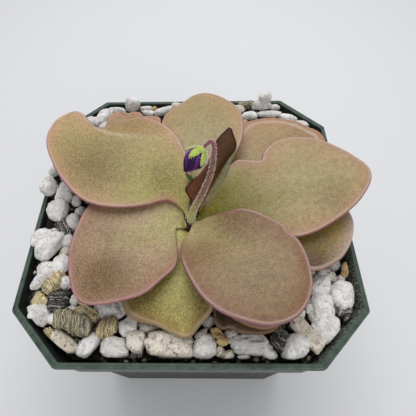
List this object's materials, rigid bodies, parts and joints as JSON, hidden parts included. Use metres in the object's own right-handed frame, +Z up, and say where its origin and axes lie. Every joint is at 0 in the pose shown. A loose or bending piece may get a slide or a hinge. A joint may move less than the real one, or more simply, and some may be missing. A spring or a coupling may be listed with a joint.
{
  "type": "potted butterwort",
  "caption": "Flat rosette of broad fleshy leaves with one nodding flower bud, growing in loose mineral mix in a square plastic pot with cut corners.",
  "frame": {"origin": "middle of the pot's underside, on the surface it stands on", "axes": "+Z up, +Y to the back, +X to the right seen from the front"},
  "size_m": [0.0931, 0.089, 0.1105],
  "materials": {
    "pot": "moulded green polypropylene, satin",
    "potting_mix": "rough white perlite, cream pumice and gold vermiculite",
    "crown": "matte, hairy",
    "leaf": "satin with fine glistening glands",
    "young_leaf": "satin",
    "leaf_bud": "satin",
    "flower_stalk": "satin, hairy",
    "calyx": "satin, hairy",
    "petals": "satin"
  },
  "bodies": {
    "root": {"pot": "pot", "potting_mix": "potting_mix", "crown": "crown", "leaf_front_right_lowest": "leaf", "leaf_front_right_under": "leaf", "leaf_front_under": "leaf", "leaf_back_left": "leaf", "leaf_back_right": "leaf", "leaf_right_under": "leaf", "leaf_front": "leaf", "leaf_back": "leaf", "leaf_front_left": "leaf", "leaf_right": "leaf", "leaf_left": "leaf", "leaf_front_right": "leaf", "young_leaf": "young_leaf", "leaf_bud": "leaf_bud", "flower_stalk": "flower_stalk", "petals": "petals", "calyx": "calyx"}
  },
  "joints": []
}
